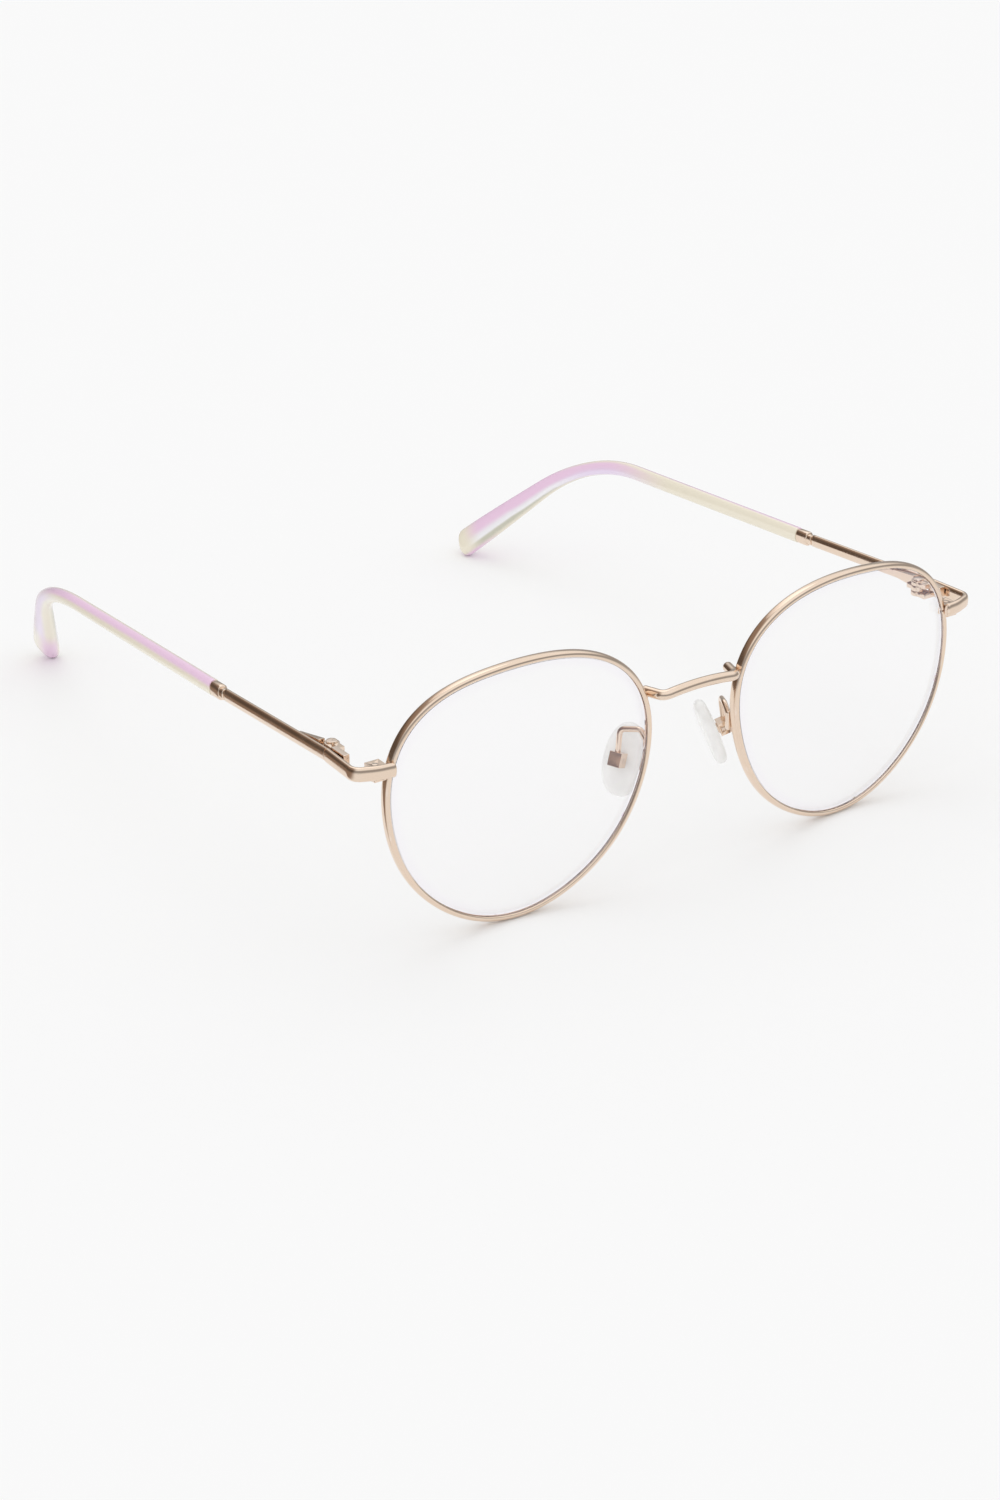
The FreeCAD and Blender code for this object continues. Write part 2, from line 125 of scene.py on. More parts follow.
# Fineness: points round each section, points round the rim, and the angle that stays a sharp edge
WIRE_SIDES = 32
METAL_SIDES = 40
TIP_SIDES = 48
PAD_SIDES = 64
RIM_POINTS = 360
SHARP_ANGLE = 48

# Rounded ends: share of the section's area left at the very end, and where rings lie along the rounding
END_SHARE = 0.02
END_STOPS = (0.0, 0.04, 0.12, 0.25, 0.42, 0.65, 1.0)

# Neck and barrel of the collar: (distance from its start, share of the full section)
NECK_PROFILE = ((0.02, 0.9), (0.1, 1.0), (0.95, 1.0), (1.08, 1.02))
BARREL_PROFILE = ((0, 0.84), (0.06, 0.91), (0.2, 0.97), (0.45, 1.0),
                  (1.5, 1.0), (2.6, 1.0), (2.9, 0.97), (3.08, 0.9))

# Lens faces: shares of the outline radius, from the middle to the edge
LENS_SHARES = (0.02, 0.2, 0.4, 0.6, 0.75, 0.87, 0.95, 1.0)

# Half of the nose pad from its middle plane to its flat face: (share of the thickness, share of the outline)
PAD_EDGE = ((0.4, 0.985), (0.75, 0.93), (0.93, 0.84))
PAD_FACE = (0.72, 0.55, 0.3, 0.05)

# How far the edges of the metal parts kept from the CAD are broken
BLOCK_EDGE = 0.12
ARM_EDGE = 0.06
SCREW_EDGE = 0.05
EDGE_ANGLE = 40
WELD_GAP = 0.000001

# Colours, linear
ROSE_GOLD = (0.85, 0.685, 0.55, 1)
ROSE_GOLD_PALE = (0.91, 0.78, 0.68, 1)
SCREW_GOLD = (0.80, 0.66, 0.54, 1)
# Tip: cream is its own colour; pink, lilac and grey-pink paint its angle-dependent pearly sheen, milk a
# painted highlight line
CREAM = (0.84, 0.78, 0.64, 1)
PINK_SHEEN = (0.84, 0.60, 0.78, 1)
LILAC_SHEEN = (0.80, 0.68, 0.86, 1)
OLIVE = (0.56, 0.55, 0.45, 1)
GREY_PINK_SHEEN = (0.68, 0.58, 0.62, 1)
MILK_HIGHLIGHT = (0.88, 0.87, 0.90, 1)
SILICONE = (0.96, 0.96, 0.95, 1)
SILICONE_CLOUD = (0.88, 0.875, 0.86, 1)
LENS_TINT = (0.997, 0.995, 1.0, 1)
LENS_EDGE = (0.975, 0.955, 0.992, 1)
COATING = (0.80, 0.66, 1.0, 1)
FLOOR = (0.90, 0.90, 0.90, 1)
FLOOR_SPECK = (0.8955, 0.8955, 0.8955, 1)

# Relief of the surfaces, in metres
POLISHING_LINES = 0.0000012
PEARL_RIPPLE = 0.000004
SILICONE_GRAIN = 0.000003

# Where the tip's cream and painted sheen change, from the collar (0) to the end (1)
OUTER_DROP_AT = (0.52, 0.66)
OUTER_END_AT = (0.86, 0.94)
INNER_BEND_AT = (0.36, 0.56)
INNER_DROP_AT = (0.60, 0.74)
INNER_END_AT = (0.90, 0.955)

# Camera, in millimetres and degrees
CAMERA_TARGET = Vector((-14.33, -36.76, 11.80))
CAMERA_DISTANCE = 495.43
CAMERA_AZIMUTH = -33.74
CAMERA_ELEVATION = 25.13
CAMERA_ROLL = -0.37
CAMERA_LENS = 66.23
CAMERA_SENSOR = 36

# Studio: how bright each part of the tent is, and where its dark opening lies
TENT = (1, 1, 1, 1)
OPENING = (0.30, 0.22, 0.17, 1)
OPENING_DIRECTION = (-0.76, 0.62, 0.20)
WALL_LIGHT = 0.36
CEILING_LIGHT = 1.0
TABLE_LIGHT = 0.92
TENT_LIGHT = 1.015
BACKDROP_LIGHT = 0.956

# Key light, in degrees, and the table, in metres
KEY_LIGHT = 0.16
KEY_ELEVATION = 60
KEY_AZIMUTH = 172
KEY_SPREAD = 40
FLOOR_NEAR = 0.10
FLOOR_FAR = 12.0
FLOOR_SIDES = 96


# ---------------------------------------------------------------- shape helpers

def placed(side, point):
    """A drawn point on its side of the eyeglasses, in the shared frame."""
    return Vector((side * point.x, point.y - MIDDLE_DEPTH, point.z)) * MM


def smooth(share):
    share = min(max(share, 0.0), 1.0)
    return share * share * (3 - 2 * share)


def superellipse(wide, high, power, count):
    """Outline points of a rounded section, wide by high."""
    points = []
    for step in range(count):
        angle = 2 * math.pi * step / count
        c = math.cos(angle)
        s = math.sin(angle)
        across = math.copysign(abs(c) ** (2 / power), c) * wide / 2
        above = math.copysign(abs(s) ** (2 / power), s) * high / 2
        points.append((across, above))
    return points


def skin(name, rings, side):
    """Closed mesh through rings of points. UV x is the share of the length, y the share of the way round."""
    travelled = [0.0]
    for ring, after in zip(rings, rings[1:]):
        moved = sum((b - a).length for a, b in zip(ring, after))
        travelled.append(travelled[-1] + moved / len(ring))
    bm = bmesh.new()
    uv = bm.loops.layers.uv.new("Skin")
    rows = [[bm.verts.new(placed(side, p)) for p in ring] for ring in rings]
    count = len(rings[0])
    for i in range(len(rows) - 1):
        for k in range(count):
            m = (k + 1) % count
            face = bm.faces.new((rows[i][k], rows[i][m], rows[i + 1][m], rows[i + 1][k]))
            face.smooth = True
            corners = ((i, k), (i, k + 1), (i + 1, k + 1), (i + 1, k))
            for loop, (row, column) in zip(face.loops, corners):
                loop[uv].uv = (travelled[row] / travelled[-1], column / count)
    for row, share in ((rows[0], 0.0), (rows[-1], 1.0)):
        cap = bm.faces.new(row)
        cap.smooth = True
        for column, loop in enumerate(cap.loops):
            loop[uv].uv = (share, column / count)
    bmesh.ops.recalc_face_normals(bm, faces=bm.faces)
    mesh = bpy.data.meshes.new(name)
    bm.to_mesh(mesh)
    bm.free()
    mesh.set_sharp_from_angle(angle=math.radians(SHARP_ANGLE))
    piece = bpy.data.objects.new(name, mesh)
    bpy.context.scene.collection.objects.link(piece)
    return piece


class Path:
    """Straight runs through points, joined by tangent arcs, read by distance along it."""

    STEP = 0.2
    FEWEST = 6

    def __init__(self, points, radii):
        self.points = [points[0]]
        for before, corner, after, radius in zip(points, points[1:], points[2:], radii):
            self.add_arc(before, corner, after, radius)
        self.points.append(points[-1])
        self.reach = [0.0]
        for here, there in zip(self.points, self.points[1:]):
            self.reach.append(self.reach[-1] + (there - here).length)
        self.length = self.reach[-1]

    def add_arc(self, before, corner, after, radius):
        back = (before - corner).normalized()
        ahead = (after - corner).normalized()
        half_turn = (math.pi - back.angle(ahead)) / 2
        centre = corner + (back + ahead).normalized() * (radius / math.cos(half_turn))
        spoke = corner + back * radius * math.tan(half_turn) - centre
        axis = spoke.cross(-back).normalized()
        count = max(self.FEWEST, math.ceil(2 * half_turn * radius / self.STEP))
        for step in range(count + 1):
            turned = Matrix.Rotation(2 * half_turn * step / count, 3, axis) @ spoke
            self.points.append(centre + turned)

    def point(self, distance):
        distance = min(max(distance, 0.0), self.length)
        i = 0
        while i < len(self.points) - 2 and self.reach[i + 1] < distance:
            i += 1
        share = (distance - self.reach[i]) / (self.reach[i + 1] - self.reach[i])
        return self.points[i].lerp(self.points[i + 1], share)

    def at(self, distance):
        """Point and direction."""
        near = min(max(distance, self.STEP), self.length - self.STEP)
        direction = (self.point(near + self.STEP) - self.point(near - self.STEP)).normalized()
        return self.point(distance), direction


def stops(length, step, first_round, last_round):
    """Distances along a piece, closer together where its ends are rounded."""
    start = [share * first_round for share in END_STOPS]
    end = [length - share * last_round for share in reversed(END_STOPS)]
    inside = length - first_round - last_round
    count = max(2, math.ceil(inside / step))
    return start + [first_round + inside * i / count for i in range(1, count)] + end


def rounded(distance, reach):
    """Share of the full section at a distance from an end that is rounded off over reach."""
    if distance >= reach:
        return 1.0
    return math.sqrt(max(END_SHARE, 1 - (1 - distance / reach) ** 2))


def upright(path, distance, section, grow):
    """Ring of an upright section at a distance along a path."""
    point, direction = path.at(distance)
    across = direction.cross(Z_AXIS).normalized()
    above = across.cross(direction)
    return [point + (across * a + above * b) * grow for a, b in section]


def sweep(path, section, step, first_round, last_round):
    """Rings of a section carried along a path, with rounded ends."""
    rings = []
    for distance in stops(path.length, step, first_round, last_round):
        grow = rounded(distance, first_round) * rounded(path.length - distance, last_round)
        rings.append(upright(path, distance, section, grow))
    return rings


# ---------------------------------------------------------------- shapes of the eyeglasses

def rim_radius(angle):
    waves = sum(c * math.cos(k * angle) + s * math.sin(k * angle) for k, c, s in RIM_WAVES)
    return RIM_RADIUS + waves


TILT = Matrix.Rotation(math.radians(TILT_ANGLE), 3, "X")
WRAP = Matrix.Rotation(math.radians(WRAP_ANGLE), 3, "Z")
SEAT_TURN = TILT @ WRAP


def on_front(angle, radius, shift):
    """Point of the dished front at an angle and radius from the lens middle, shift behind its surface."""
    sag = BASE_CURVE - math.sqrt(BASE_CURVE ** 2 - radius ** 2)
    return RIM_CENTRE + SEAT_TURN @ Vector((radius * math.cos(angle), sag + shift, radius * math.sin(angle)))


def rim_section():
    """Rounded wire with a groove for the lens on the inside."""
    section = []
    for across, behind in superellipse(RIM_WIDTH, RIM_DEPTH, RIM_POWER, METAL_SIDES):
        if across < -GROOVE_SIDE * RIM_WIDTH and abs(behind) < GROOVE_WIDTH / 2:
            across += GROOVE_DEPTH
        section.append((across, behind))
    return section


def rim_rings():
    """Rim wire from one side of its cut round to the other."""
    split = math.asin((SPLIT_Z - RIM_CENTRE.z) / RIM_RADIUS)
    gap = RIM_SPLIT / 2 / RIM_RADIUS
    section = rim_section()
    rings = []
    for step in range(RIM_POINTS + 1):
        angle = split + gap + (2 * math.pi - 2 * gap) * step / RIM_POINTS
        radius = rim_radius(angle)
        rings.append([on_front(angle, radius + across, behind) for across, behind in section])
    return rings


def lens_rings():
    """Front face, the tongue that sits in the groove, and the back face, as rings about the middle."""
    edge = -RIM_WIDTH / 2 - LENS_PLAY
    tongue = edge + GROOVE_DEPTH
    half = GROOVE_WIDTH / 2 - LENS_PLAY
    profile = [(share, edge, -LENS_FRONT) for share in LENS_SHARES]
    profile += [(1.0, edge, -half), (1.0, tongue, -half), (1.0, tongue, half), (1.0, edge, half)]
    profile += [(share, edge, LENS_BACK) for share in reversed(LENS_SHARES)]
    rings = []
    for share, offset, shift in profile:
        ring = []
        for step in range(RIM_POINTS // 2):
            angle = 4 * math.pi * step / RIM_POINTS
            ring.append(on_front(angle, share * (rim_radius(angle) + offset), shift))
        rings.append(ring)
    return rings


def bridge_rings():
    mirrored = [Vector((-p.x, p.y, p.z)) for p in (BRIDGE_SHOULDER, BRIDGE_ROOT)]
    path = Path([BRIDGE_ROOT, BRIDGE_SHOULDER, BRIDGE_CROWN] + mirrored, BRIDGE_BENDS)
    section = superellipse(2 * BRIDGE_RADIUS, 2 * BRIDGE_RADIUS, WIRE_POWER, WIRE_SIDES)
    return sweep(path, section, step=0.3, first_round=0.5, last_round=0.5)


def endpiece_rings():
    section = superellipse(STRIP_THICK, STRIP_HEIGHT, STRIP_POWER, METAL_SIDES)
    return sweep(Path(STRIP_POINTS, STRIP_BENDS), section, step=0.25, first_round=0.45, last_round=0.08)


def temple_bar_rings():
    section = superellipse(TEMPLE_THICK, TEMPLE_HEIGHT, BAR_POWER, METAL_SIDES)
    return sweep(Path((TEMPLE_START, TEMPLE_END), ()), section, step=0.5, first_round=0.08, last_round=0.3)


def tip_path():
    """Middle line from the end of the temple bar, over the ear bend, to the end of the tip."""
    return Path((TEMPLE_END, EAR_CORNER, TIP_END), (EAR_BEND,))


def collar_rings(line):
    """Narrow neck behind the bar, then the wider rounded barrel that closes the tip."""
    path = Path((line.points[0], line.at(NECK_LENGTH + COLLAR_LENGTH)[0]), ())
    neck = superellipse(NECK_THICK, NECK_HEIGHT, COLLAR_POWER, METAL_SIDES)
    barrel = superellipse(COLLAR_THICK, COLLAR_HEIGHT, COLLAR_POWER, METAL_SIDES)
    rings = [upright(path, distance, neck, grow) for distance, grow in NECK_PROFILE]
    rings += [upright(path, NECK_LENGTH + distance, barrel, grow) for distance, grow in BARREL_PROFILE]
    return rings


def tip_rings(line):
    """Rounded tip that grows into a paddle square to the bend, and is rounded off at its end."""
    ahead = (TIP_END - EAR_CORNER).normalized()
    back = (TEMPLE_END - EAR_CORNER).normalized()
    flat = back.cross(ahead).normalized()
    first = NECK_LENGTH + COLLAR_LENGTH
    rings = []
    for beyond in stops(line.length - first, step=0.8, first_round=TIP_MOUTH, last_round=TIP_ROUNDING):
        distance = first + beyond
        point, direction = line.at(distance)
        side = X_AXIS.lerp(flat, smooth(distance / line.length))
        side = (side - direction * side.dot(direction)).normalized()
        up = side.cross(direction)
        grown = smooth((distance - line.length + PADDLE_LENGTH) / PADDLE_LENGTH)
        height = TIP_HEIGHT + (PADDLE_HEIGHT - TIP_HEIGHT) * grown
        thick = TIP_THICK + (PADDLE_THICK - TIP_THICK) * grown
        used = 1 - min((line.length - distance) / TIP_ROUNDING, 1.0)
        shrink = max(1 - TIP_END_SHARE, 1 - TIP_END_SHARE * used ** 3) ** 0.5
        shrink *= TIP_MOUTH_SHARE + (1 - TIP_MOUTH_SHARE) * rounded(beyond, TIP_MOUTH)
        section = superellipse(thick, height, TIP_POWER, TIP_SIDES)
        rings.append([point + (side * a + up * b) * shrink for a, b in section])
    return rings


def pad_axes():
    """Outward, rear and up axes of the pad."""
    flare, splay, lean = (math.radians(a) for a in (PAD_FLARE, PAD_SPLAY, PAD_LEAN))
    up = Vector((-math.tan(flare), math.tan(lean), 1)).normalized()
    rear = Vector((math.sin(splay), math.cos(splay), 0))
    rear = (rear - up * rear.dot(up)).normalized()
    return rear.cross(up), rear, up


def nose_pad_rings():
    """Soft oval cushion: flat in the middle of the face, full at the edge, a little narrower on top."""
    outward, rear, up = pad_axes()
    half = [(0, 1.0)] + list(PAD_EDGE) + [(1, scale) for scale in PAD_FACE]
    profile = [(-share, scale) for share, scale in reversed(half[1:])] + half
    rings = []
    for share, scale in profile:
        ring = []
        for across, above in superellipse(PAD_WIDTH, PAD_LENGTH, PAD_POWER, PAD_SIDES):
            narrower = 1 - PAD_TAPER * above / PAD_LENGTH
            on_face = rear * (across * scale * narrower) + up * (above * scale)
            ring.append(PAD_CENTRE + outward * (share * PAD_THICK / 2) + on_face)
        rings.append(ring)
    return rings


# ---------------------------------------------------------------- materials

class Nodes:
    """A node tree with short ways to add nodes and links."""

    def __init__(self, tree):
        self.tree = tree

    def node(self, kind, **values):
        """Adds a node. Each value goes to the property of its name, or else to the input of its name."""
        made = self.tree.nodes.new(kind)
        for key, value in values.items():
            if hasattr(made, key):
                setattr(made, key, value)
            else:
                made.inputs[key].default_value = value
        return made

    def link(self, source, target):
        self.tree.links.new(source, target)

    def feed(self, source, target):
        """Links an output to an input, or sets the input to a plain value."""
        if isinstance(source, (int, float, tuple)):
            target.default_value = source
        else:
            self.link(source, target)

    def split(self, source):
        """X, Y and Z of a vector."""
        parts = self.node("ShaderNodeSeparateXYZ")
        self.link(source, parts.inputs["Vector"])
        return parts.outputs

    def ramp(self, source, low, high, bottom=0.0, top=1.0):
        """Maps low..high to bottom..top, smoothly."""
        made = self.node("ShaderNodeMapRange", interpolation_type="SMOOTHSTEP")
        for name, value in (("From Min", low), ("From Max", high), ("To Min", bottom), ("To Max", top)):
            made.inputs[name].default_value = value
        self.link(source, made.inputs["Value"])
        return made.outputs["Result"]

    def mix(self, share, first, second):
        """Colour between two colours."""
        made = self.node("ShaderNodeMix", data_type="RGBA")
        self.link(share, made.inputs[0])
        self.feed(first, made.inputs[6])
        self.feed(second, made.inputs[7])
        return made.outputs[2]

    def calculate(self, operation, *sources):
        made = self.node("ShaderNodeMath", operation=operation)
        for source, socket in zip(sources, made.inputs):
            self.feed(source, socket)
        return made.outputs[0]


class Shader(Nodes):
    """A new material around one Principled shader."""

    def __init__(self, name, **uniform):
        self.material = bpy.data.materials.new(name)
        self.material.use_nodes = True
        super().__init__(self.material.node_tree)
        self.surface = self.tree.nodes["Principled BSDF"]
        for key, value in uniform.items():
            self.surface.inputs[key.replace("_", " ")].default_value = value

    def paint(self, source):
        self.link(source, self.surface.inputs["Base Color"])

    def roughen(self, source):
        self.link(source, self.surface.inputs["Roughness"])

    def bump(self, source, height):
        made = self.node("ShaderNodeBump", Strength=1.0, Distance=height)
        self.link(source, made.inputs["Height"])
        self.link(made.outputs["Normal"], self.surface.inputs["Normal"])

    def noise(self, scale, detail, stretch=(1, 1, 1)):
        """Noise in the object's own metres."""
        coordinates = self.node("ShaderNodeTexCoord")
        mapping = self.node("ShaderNodeMapping", Scale=stretch)
        texture = self.node("ShaderNodeTexNoise", Scale=scale, Detail=detail)
        self.link(coordinates.outputs["Object"], mapping.inputs["Vector"])
        self.link(mapping.outputs["Vector"], texture.inputs["Vector"])
        return texture.outputs["Fac"]

    def skin_position(self):
        """Share of the length in X and of the way round in Y."""
        return self.split(self.node("ShaderNodeUVMap", uv_map="Skin").outputs["UV"])


def metal(name, colour, pale, low_gloss, high_gloss):
    """Polished plating: faint handling marks, fine polishing lines, paler on sharp edges."""
    made = Shader(name, Metallic=1.0)
    marks = made.noise(scale=260, detail=5)
    lines = made.noise(scale=900, detail=3, stretch=(1, 6, 6))
    made.roughen(made.ramp(marks, 0.35, 0.7, low_gloss, high_gloss))
    geometry = made.node("ShaderNodeNewGeometry")
    pale_edges = made.ramp(geometry.outputs["Pointiness"], 0.52, 0.60, 0.0, 0.6)
    clouded = made.ramp(marks, 0.4, 0.75, 0.0, 0.25)
    made.paint(made.mix(made.calculate("MAXIMUM", pale_edges, clouded), colour, pale))
    made.bump(lines, POLISHING_LINES)
    return made.material


def pearl(name):
    """Pearly acetate, cream in the mass, with the pearl's angle-dependent sheen painted on by place in pink
    and lilac along the length.

    The outer side is painted pink sheen above and cream below as far as the bend, and banded after it. The
    inner side is cream as far as the bend, painted pink sheen round it, and lilac sheen over a milky middle,
    a painted highlight line, down to a cream end. high runs from -1 at the bottom of the section to 1 at its
    top.
    """
    made = Shader(name, Coat_Weight=0.5, Coat_Roughness=0.08, IOR=1.5)
    position = made.skin_position()
    swirl = made.ramp(made.noise(scale=55, detail=3, stretch=(1, 0.35, 1)), 0.25, 0.75, -0.15, 0.15)
    turn = made.calculate("MULTIPLY", position["Y"], 2 * math.pi)
    high = made.calculate("ADD", made.calculate("SINE", turn), swirl)
    outer = made.ramp(made.calculate("COSINE", turn), -0.45, 0.15)
    along = made.calculate("ADD", position["X"], made.calculate("MULTIPLY", swirl, 0.12))

    def layers(first, *others):
        """Colours laid over each other, each growing in where a source goes from one value to another."""
        for source, low, top, colour in others:
            first = made.mix(made.ramp(source, low, top), first, colour)
        return first

    # Painted sheen: pink, lilac and grey-pink bands laid by place over the cream where the pearl's sheen
    # shows
    outer_run = layers(CREAM, (high, 0.05, 0.65, PINK_SHEEN))
    outer_drop = layers(CREAM, (high, -0.6, 0.0, LILAC_SHEEN), (high, 0.1, 0.9, GREY_PINK_SHEEN))
    outer_end = layers(PINK_SHEEN, (high, -0.4, 0.4, CREAM))
    inner_bend = layers(LILAC_SHEEN, (high, -0.5, 0.2, PINK_SHEEN), (high, 0.4, 1.0, CREAM))
    # Painted highlight: a milky line low on the inner drop, with an olive line below it and the painted pink
    # sheen above
    inner_drop = layers(OLIVE, (high, -0.95, -0.75, MILK_HIGHLIGHT), (high, -0.65, -0.1, PINK_SHEEN))
    outside = layers(outer_run, (along, *OUTER_DROP_AT, outer_drop), (along, *OUTER_END_AT, outer_end))
    inside = layers(CREAM, (along, *INNER_BEND_AT, inner_bend), (along, *INNER_DROP_AT, inner_drop),
                    (along, *INNER_END_AT, CREAM))
    made.paint(made.mix(outer, inside, outside))
    made.roughen(made.ramp(made.noise(scale=90, detail=1), 0.3, 0.7, 0.20, 0.27))
    made.bump(made.noise(scale=60, detail=1), PEARL_RIPPLE)
    return made.material


def clear_lens():
    """Clear resin with a faint violet coating, a little deeper in colour towards the edge."""
    made = Shader("clear_lens", Transmission_Weight=1.0, IOR=1.5, Specular_Tint=COATING)
    offset = made.calculate("SUBTRACT", made.skin_position()["X"], 0.5)
    from_edge = made.calculate("ABSOLUTE", offset)
    made.paint(made.mix(made.ramp(from_edge, 0.02, 0.07), LENS_EDGE, LENS_TINT))
    made.roughen(made.ramp(made.noise(scale=45, detail=3), 0.45, 0.75, 0.0, 0.012))
    return made.material


def silicone():
    """Clear soft silicone, cloudy in its thickness, with a satin skin."""
    made = Shader("silicone", Transmission_Weight=0.28, IOR=1.41, Coat_Weight=0.35, Coat_Roughness=0.12)
    cloud = made.noise(scale=260, detail=3)
    made.paint(made.mix(made.ramp(cloud, 0.3, 0.7), SILICONE, SILICONE_CLOUD))
    made.roughen(made.ramp(cloud, 0.3, 0.7, 0.30, 0.46))
    made.bump(made.noise(scale=700, detail=2), SILICONE_GRAIN)
    return made.material


def floor_paint():
    """Matt white table top with a faint speck."""
    made = Shader("pale_floor", Roughness=1.0, Specular_IOR_Level=0.0)
    made.paint(made.mix(made.noise(scale=30, detail=4), FLOOR, FLOOR_SPECK))
    return made.material


# ---------------------------------------------------------------- pieces

GOLD = metal("rose_gold", ROSE_GOLD, ROSE_GOLD_PALE, 0.09, 0.19)
SCREWS = metal("screw_gold", SCREW_GOLD, ROSE_GOLD_PALE, 0.16, 0.30)
PEARL = pearl("pearl_acetate")
LENS = clear_lens()
PAD = silicone()


def add(name, rings, side, body, slot, material, *nodes):
    """Adds a skin that rides on a body in place of its nodes."""
    piece = skin(name, rings, side)
    piece.data.materials.append(material)
    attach(piece, body)
    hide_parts(*nodes)
    return piece


def let_light_past(piece):
    """Keeps a clear piece from shading what lies behind it."""
    piece.visible_shadow = False
    piece.visible_diffuse = False


def build_side(word, side):
    line = tip_path()
    temple = word + "_temple"
    add(word + "_rim_wire", rim_rings(), side, "front", "metal", GOLD, word + "_rim")
    lens = add(word + "_lens_clear", lens_rings(), side, "front", "lens", LENS, word + "_lens")
    add(word + "_endpiece_strip", endpiece_rings(), side, "front", "metal", GOLD, word + "_endpiece")
    add(word + "_temple_strip", temple_bar_rings(), side, temple, "metal", GOLD, word + "_temple_bar")
    add(word + "_collar_ring", collar_rings(line), side, temple, "metal", GOLD, word + "_collar")
    add(word + "_tip_pearl", tip_rings(line), side, temple, "tip", PEARL, word + "_temple_tip")
    pad = add(word + "_pad_soft", nose_pad_rings(), side, word + "_pad", "pad", PAD, word + "_nose_pad")
    let_light_past(lens)
    let_light_past(pad)


def finish_node(name, material, edge):
    """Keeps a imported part, with its edges broken as a tumbled metal part has them."""
    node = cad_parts[name]
    weld = node.modifiers.new("Weld", "WELD")
    weld.merge_threshold = WELD_GAP
    bevel = node.modifiers.new("Edges", "BEVEL")
    bevel.width = edge * MM
    bevel.segments = 2
    bevel.limit_method = "ANGLE"
    bevel.angle_limit = math.radians(EDGE_ANGLE)
    node.modifiers.new("Normals", "WEIGHTED_NORMAL")
    for slot in node.material_slots:
        slot.material = material


def finish_nodes():
    """Finishes the parts that are shown as the CAD has them."""
    for word in SIDES:
        for part in ("block_upper", "block_lower", "hinge_front", "hinge_rear", "temple_core"):
            finish_node(word + "_" + part, GOLD, BLOCK_EDGE)
        for part in ("pad_arm", "pad_box", "pad_stud"):
            finish_node(word + "_" + part, GOLD, ARM_EDGE)
        for part in ("hinge_screw", "block_screw", "pad_screw"):
            finish_node(word + "_" + part, SCREWS, SCREW_EDGE)


# ---------------------------------------------------------------- studio

def circle(bm, radius):
    turns = [2 * math.pi * step / FLOOR_SIDES for step in range(FLOOR_SIDES)]
    return [bm.verts.new((radius * math.cos(a), radius * math.sin(a), 0)) for a in turns]


def floor_part(name, radius, hole_radius, material):
    """Round flat part of the table, whole or with a round hole."""
    bm = bmesh.new()
    rim = circle(bm, radius)
    if hole_radius:
        hole = circle(bm, hole_radius)
        for k in range(FLOOR_SIDES):
            m = (k + 1) % FLOOR_SIDES
            bm.faces.new((hole[k], rim[k], rim[m], hole[m]))
    else:
        bm.faces.new(rim)
    mesh = bpy.data.meshes.new(name)
    bm.to_mesh(mesh)
    bm.free()
    part = bpy.data.objects.new(name, mesh)
    part.data.materials.append(material)
    bpy.context.scene.collection.objects.link(part)
    return part


def add_floor():
    """Pale table. Polished metal mirrors its near part, and the tent in place of the rest."""
    paint = floor_paint()
    floor_part("floor_near", FLOOR_NEAR, 0, paint)
    floor_part("floor_far", FLOOR_FAR, FLOOR_NEAR, paint).visible_glossy = False


def direction_from(azimuth, elevation):
    """Unit vector towards a place seen at angles in degrees, azimuth 0 in front of the eyeglasses."""
    turn, tall = math.radians(azimuth), math.radians(elevation)
    return Vector((math.sin(turn) * math.cos(tall), -math.cos(turn) * math.cos(tall), math.sin(tall)))


def add_camera():
    azimuth = math.radians(CAMERA_AZIMUTH)
    roll = math.radians(CAMERA_ROLL)
    back = direction_from(CAMERA_AZIMUTH, CAMERA_ELEVATION)
    level = Vector((math.cos(azimuth), math.sin(azimuth), 0))
    right = level * math.cos(roll) + back.cross(level) * math.sin(roll)
    up = back.cross(right)
    data = bpy.data.cameras.new("camera")
    data.lens = CAMERA_LENS
    data.sensor_width = CAMERA_SENSOR
    data.clip_start = 0.02
    data.clip_end = 50
    camera = bpy.data.objects.new("camera", data)
    turn = Matrix((right, up, back)).transposed().to_4x4()
    camera.matrix_world = Matrix.Translation((CAMERA_TARGET + back * CAMERA_DISTANCE) * MM) @ turn
    bpy.context.scene.collection.objects.link(camera)
    bpy.context.scene.camera = camera


def add_key_light():
    """Weak wide light from behind, for the soft shadows on the table."""
    data = bpy.data.lights.new("key", "SUN")
    data.energy = KEY_LIGHT
    data.angle = math.radians(KEY_SPREAD)
    data.specular_factor = 0.0
    sun = bpy.data.objects.new("key", data)
    sun.rotation_mode = "QUATERNION"
    sun.rotation_quaternion = direction_from(KEY_AZIMUTH, KEY_ELEVATION).to_track_quat("Z", "Y")
    bpy.context.scene.collection.objects.link(sun)


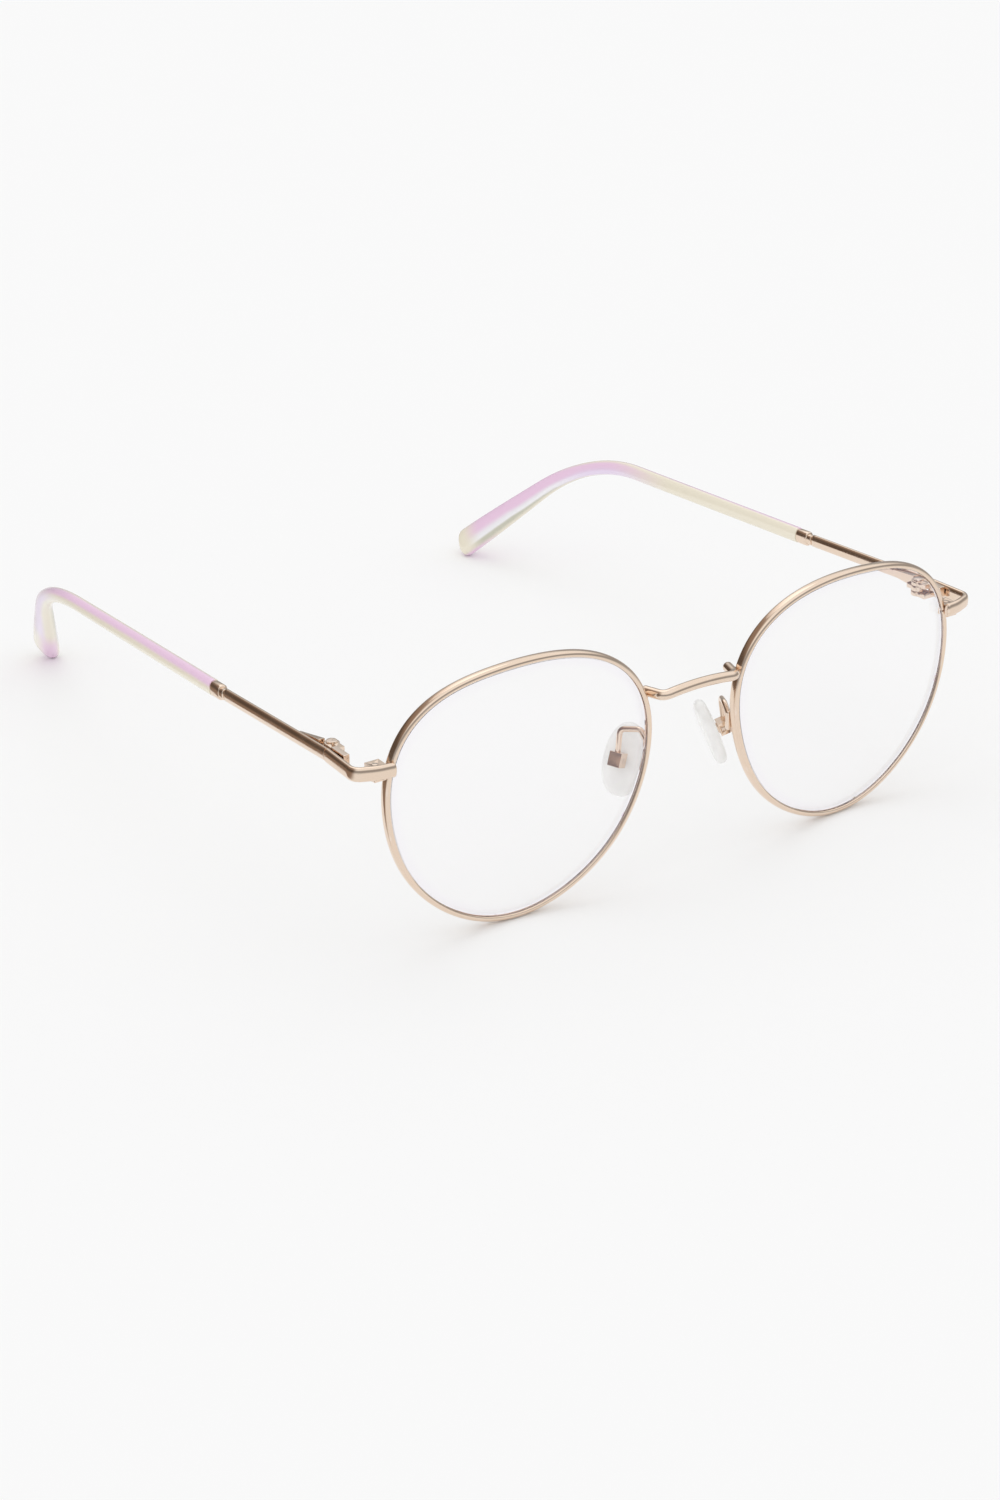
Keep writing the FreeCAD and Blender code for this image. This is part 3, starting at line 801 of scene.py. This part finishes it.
def mirrored_tent(world):
    """What polished metal mirrors: a bright top, darker walls, a pale table and a dark opening."""
    around = world.node("ShaderNodeTexCoord").outputs["Generated"]
    height = world.split(around)["Z"]
    table = world.ramp(height, -0.30, -0.02, TABLE_LIGHT - WALL_LIGHT, 0.0)
    ceiling = world.ramp(height, 0.25, 0.62, WALL_LIGHT, CEILING_LIGHT)
    toward = world.node("ShaderNodeVectorMath", operation="DOT_PRODUCT")
    toward.inputs[1].default_value = OPENING_DIRECTION
    world.link(around, toward.inputs[0])
    opening = world.ramp(toward.outputs["Value"], 0.30, 0.80)
    mirrored = world.node("ShaderNodeBackground")
    world.link(world.mix(opening, TENT, OPENING), mirrored.inputs["Color"])
    world.link(world.calculate("ADD", table, ceiling), mirrored.inputs["Strength"])
    return mirrored


def plain_tent(world, path):
    """Plain white tent, as bright to the eye as the table it meets."""
    tent = world.node("ShaderNodeBackground", Color=TENT)
    seen = world.calculate("MAXIMUM", path["Is Camera Ray"], path["Is Transmission Ray"])
    world.link(world.ramp(seen, 0.0, 1.0, TENT_LIGHT, BACKDROP_LIGHT), tent.inputs["Strength"])
    return tent


def add_surroundings():
    """A plain tent is seen and gives the light. Reflections show a tent with bright and dark parts."""
    surroundings = bpy.data.worlds.new("studio")
    surroundings.use_nodes = True
    surroundings.node_tree.nodes.clear()
    world = Nodes(surroundings.node_tree)
    path = world.node("ShaderNodeLightPath").outputs
    bounced = world.calculate("SUBTRACT", path["Is Glossy Ray"], path["Is Transmission Ray"])
    mixed = world.node("ShaderNodeMixShader")
    world.link(world.calculate("MAXIMUM", bounced, 0.0), mixed.inputs["Fac"])
    world.link(plain_tent(world, path).outputs[0], mixed.inputs[1])
    world.link(mirrored_tent(world).outputs[0], mixed.inputs[2])
    world.link(mixed.outputs[0], world.node("ShaderNodeOutputWorld").inputs["Surface"])
    bpy.context.scene.world = surroundings


for side_word, side_sign in SIDES.items():
    build_side(side_word, side_sign)
add("bridge_wire", bridge_rings(), 1, "front", "metal", GOLD, "bridge")
finish_nodes()
add_floor()
add_surroundings()
add_key_light()
add_camera()
bpy.context.scene.view_settings.view_transform = "Standard"
